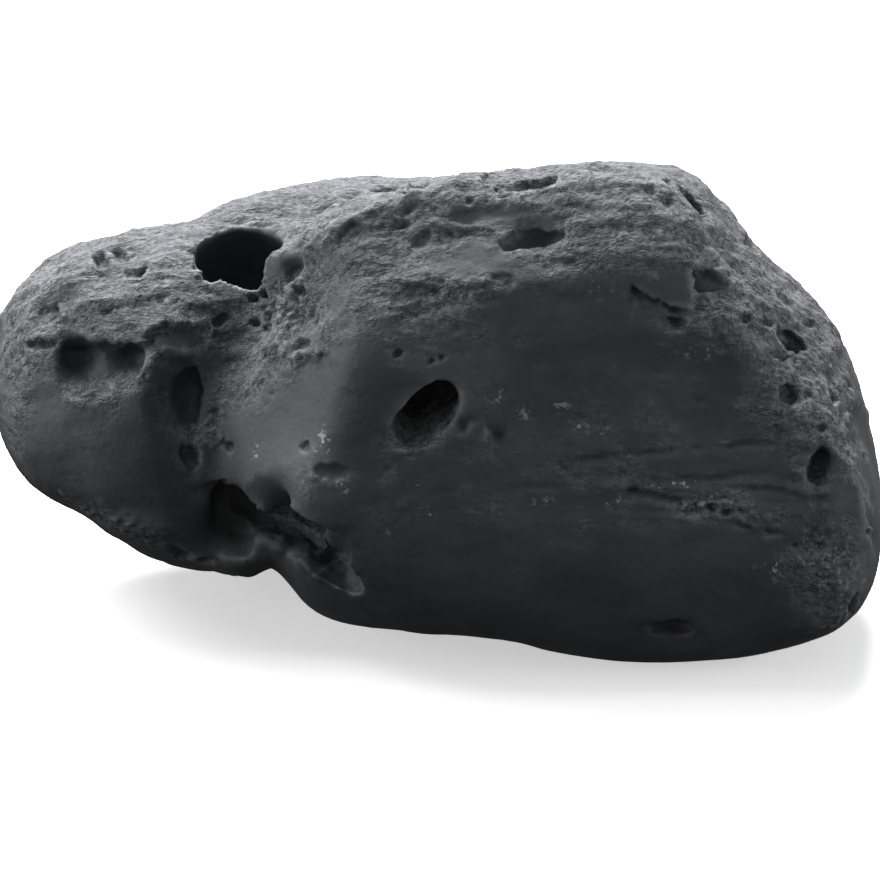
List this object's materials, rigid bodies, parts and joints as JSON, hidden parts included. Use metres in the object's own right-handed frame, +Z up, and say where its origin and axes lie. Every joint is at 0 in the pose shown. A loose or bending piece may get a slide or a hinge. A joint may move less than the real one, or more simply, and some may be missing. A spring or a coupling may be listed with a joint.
{
  "type": "river rock",
  "caption": "Weathered charcoal-grey river rock with a smooth front face, a rough crest, a rounded side lobe and bored holes, resting on a flat underside.",
  "frame": {"origin": "on the ground under the middle of the stone's box", "axes": "+X along the stone's length, away from the side lobe, +Z up, -Y towards the smooth front face's viewer"},
  "size_m": [0.3045, 0.1878, 0.1666],
  "materials": {
    "rock_surface": "matte"
  },
  "bodies": {
    "root": {"rock": "rock_surface"}
  },
  "joints": []
}
